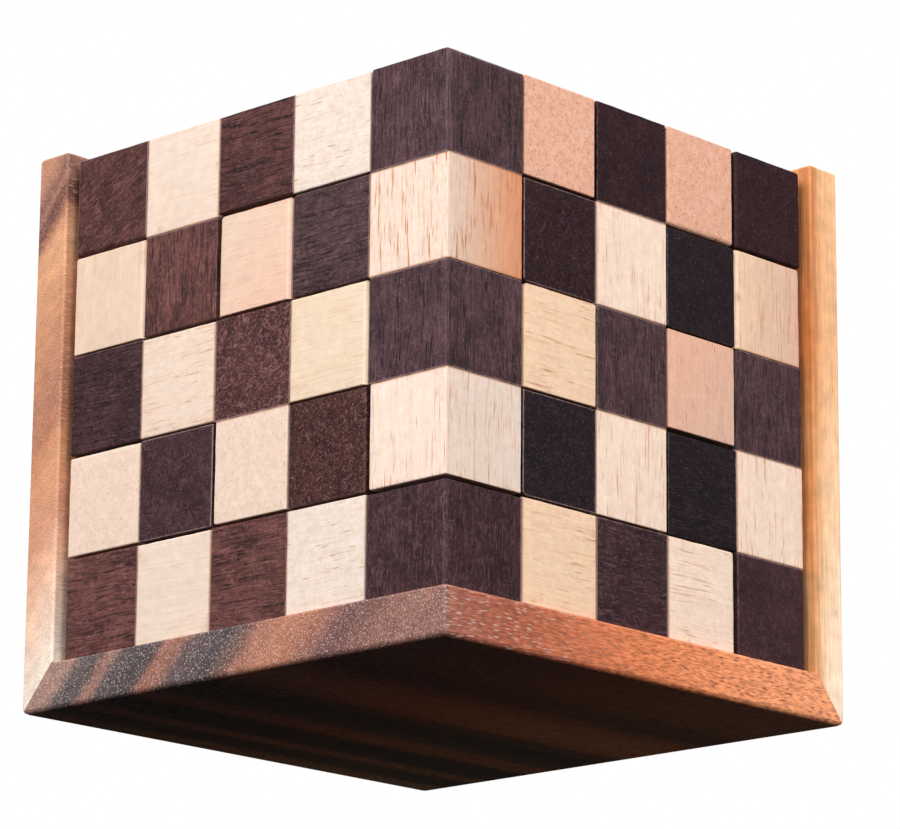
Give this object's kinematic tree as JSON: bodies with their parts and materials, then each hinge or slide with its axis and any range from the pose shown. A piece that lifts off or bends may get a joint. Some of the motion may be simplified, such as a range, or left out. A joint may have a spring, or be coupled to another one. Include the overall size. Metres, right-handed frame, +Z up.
{
  "type": "wooden packing puzzle in corner tray",
  "caption": "Checkered wooden packing puzzle: glued pieces of dark and pale cubes fill one large cube, which stands in an open corner tray of three mitred plates.",
  "frame": {"origin": "middle of the tray's underside", "axes": "+Z up; the tray's side wall is at -X and its back wall at +Y, so the cube is open to -Y, +X and +Z"},
  "size_m": [0.1112, 0.1112, 0.1111],
  "materials": {
    "dark_wood": "dark stained, satin",
    "pale_wood": "clear lacquered, satin",
    "tray_wood": "oiled, satin"
  },
  "bodies": {
    "tray": {"tray_base": "tray_wood", "tray_side_wall": "tray_wood", "tray_back_wall": "tray_wood"},
    "piece_a": {"piece_a_dark": "dark_wood", "piece_a_pale": "pale_wood"},
    "piece_b": {"piece_b_dark": "dark_wood", "piece_b_pale": "pale_wood"},
    "piece_c": {"piece_c_dark": "dark_wood", "piece_c_pale": "pale_wood"},
    "piece_d": {"piece_d_dark": "dark_wood", "piece_d_pale": "pale_wood"},
    "piece_e": {"piece_e_dark": "dark_wood", "piece_e_pale": "pale_wood"},
    "piece_f": {"piece_f_dark": "dark_wood", "piece_f_pale": "pale_wood"},
    "piece_g": {"piece_g_dark": "dark_wood", "piece_g_pale": "pale_wood"},
    "piece_h": {"piece_h_dark": "dark_wood", "piece_h_pale": "pale_wood"},
    "piece_i": {"piece_i_dark": "dark_wood", "piece_i_pale": "pale_wood"},
    "piece_j": {"piece_j_dark": "dark_wood", "piece_j_pale": "pale_wood"},
    "piece_k": {"piece_k_dark": "dark_wood", "piece_k_pale": "pale_wood"},
    "piece_l": {"piece_l_dark": "dark_wood", "piece_l_pale": "pale_wood"},
    "piece_m": {"piece_m_dark": "dark_wood", "piece_m_pale": "pale_wood"},
    "piece_n": {"piece_n_dark": "dark_wood", "piece_n_pale": "pale_wood"},
    "piece_o": {"piece_o_dark": "dark_wood", "piece_o_pale": "pale_wood"},
    "piece_p": {"piece_p_dark": "dark_wood", "piece_p_pale": "pale_wood"},
    "piece_q": {"piece_q_dark": "dark_wood", "piece_q_pale": "pale_wood"},
    "piece_r": {"piece_r_dark": "dark_wood", "piece_r_pale": "pale_wood"},
    "piece_s": {"piece_s_dark": "dark_wood", "piece_s_pale": "pale_wood"},
    "piece_t": {"piece_t_dark": "dark_wood", "piece_t_pale": "pale_wood"},
    "piece_u": {"piece_u_dark": "dark_wood", "piece_u_pale": "pale_wood"},
    "piece_v": {"piece_v_dark": "dark_wood", "piece_v_pale": "pale_wood"},
    "piece_w": {"piece_w_dark": "dark_wood", "piece_w_pale": "pale_wood"},
    "piece_x": {"piece_x_dark": "dark_wood", "piece_x_pale": "pale_wood"},
    "piece_y": {"piece_y_dark": "dark_wood", "piece_y_pale": "pale_wood"}
  },
  "joints": [
    {"name": "piece_a_out", "type": "slide", "parent": "piece_n", "child": "piece_a", "axis": [0, -1, 0], "range_m": [0, 0.12]},
    {"name": "piece_b_out", "type": "slide", "parent": "piece_g", "child": "piece_b", "axis": [0, -1, 0], "range_m": [0, 0.12]},
    {"name": "piece_c_out", "type": "slide", "parent": "piece_o", "child": "piece_c", "axis": [0, 0, 1], "range_m": [0, 0.12]},
    {"name": "piece_d_out", "type": "slide", "parent": "piece_f", "child": "piece_d", "axis": [1, 0, 0], "range_m": [0, 0.12]},
    {"name": "piece_e_out", "type": "slide", "parent": "piece_j", "child": "piece_e", "axis": [1, 0, 0], "range_m": [0, 0.12]},
    {"name": "piece_f_out", "type": "slide", "parent": "tray", "child": "piece_f", "axis": [0, -1, 0], "range_m": [0, 0.12]},
    {"name": "piece_g_out", "type": "slide", "parent": "piece_q", "child": "piece_g", "axis": [0, -1, 0], "range_m": [0, 0.12]},
    {"name": "piece_h_out", "type": "slide", "parent": "tray", "child": "piece_h", "axis": [0, 0, 1], "range_m": [0, 0.12]},
    {"name": "piece_i_out", "type": "slide", "parent": "piece_h", "child": "piece_i", "axis": [0, 0, 1], "range_m": [0, 0.12]},
    {"name": "piece_j_out", "type": "slide", "parent": "tray", "child": "piece_j", "axis": [1, 0, 0], "range_m": [0, 0.12]},
    {"name": "piece_k_out", "type": "slide", "parent": "piece_e", "child": "piece_k", "axis": [1, 0, 0], "range_m": [0, 0.12]},
    {"name": "piece_l_out", "type": "slide", "parent": "tray", "child": "piece_l", "axis": [0, 0, 1], "range_m": [0, 0.12]},
    {"name": "piece_m_out", "type": "slide", "parent": "piece_u", "child": "piece_m", "axis": [0, 0, 1], "range_m": [0, 0.12]},
    {"name": "piece_n_out", "type": "slide", "parent": "piece_f", "child": "piece_n", "axis": [0, -1, 0], "range_m": [0, 0.12]},
    {"name": "piece_o_out", "type": "slide", "parent": "piece_t", "child": "piece_o", "axis": [0, 0, 1], "range_m": [0, 0.12]},
    {"name": "piece_p_out", "type": "slide", "parent": "piece_o", "child": "piece_p", "axis": [0, 0, 1], "range_m": [0, 0.12]},
    {"name": "piece_q_out", "type": "slide", "parent": "piece_j", "child": "piece_q", "axis": [0, -1, 0], "range_m": [0, 0.12]},
    {"name": "piece_r_out", "type": "slide", "parent": "piece_g", "child": "piece_r", "axis": [0, -1, 0], "range_m": [0, 0.12]},
    {"name": "piece_s_out", "type": "slide", "parent": "piece_d", "child": "piece_s", "axis": [1, 0, 0], "range_m": [0, 0.12]},
    {"name": "piece_t_out", "type": "slide", "parent": "piece_h", "child": "piece_t", "axis": [0, 0, 1], "range_m": [0, 0.12]},
    {"name": "piece_u_out", "type": "slide", "parent": "tray", "child": "piece_u", "axis": [0, 0, 1], "range_m": [0, 0.12]},
    {"name": "piece_v_out", "type": "slide", "parent": "piece_j", "child": "piece_v", "axis": [1, 0, 0], "range_m": [0, 0.12]},
    {"name": "piece_w_out", "type": "slide", "parent": "piece_r", "child": "piece_w", "axis": [1, 0, 0], "range_m": [0, 0.12]},
    {"name": "piece_x_out", "type": "slide", "parent": "piece_k", "child": "piece_x", "axis": [1, 0, 0], "range_m": [0, 0.12]},
    {"name": "piece_y_out", "type": "slide", "parent": "piece_v", "child": "piece_y", "axis": [1, 0, 0], "range_m": [0, 0.12]}
  ]
}
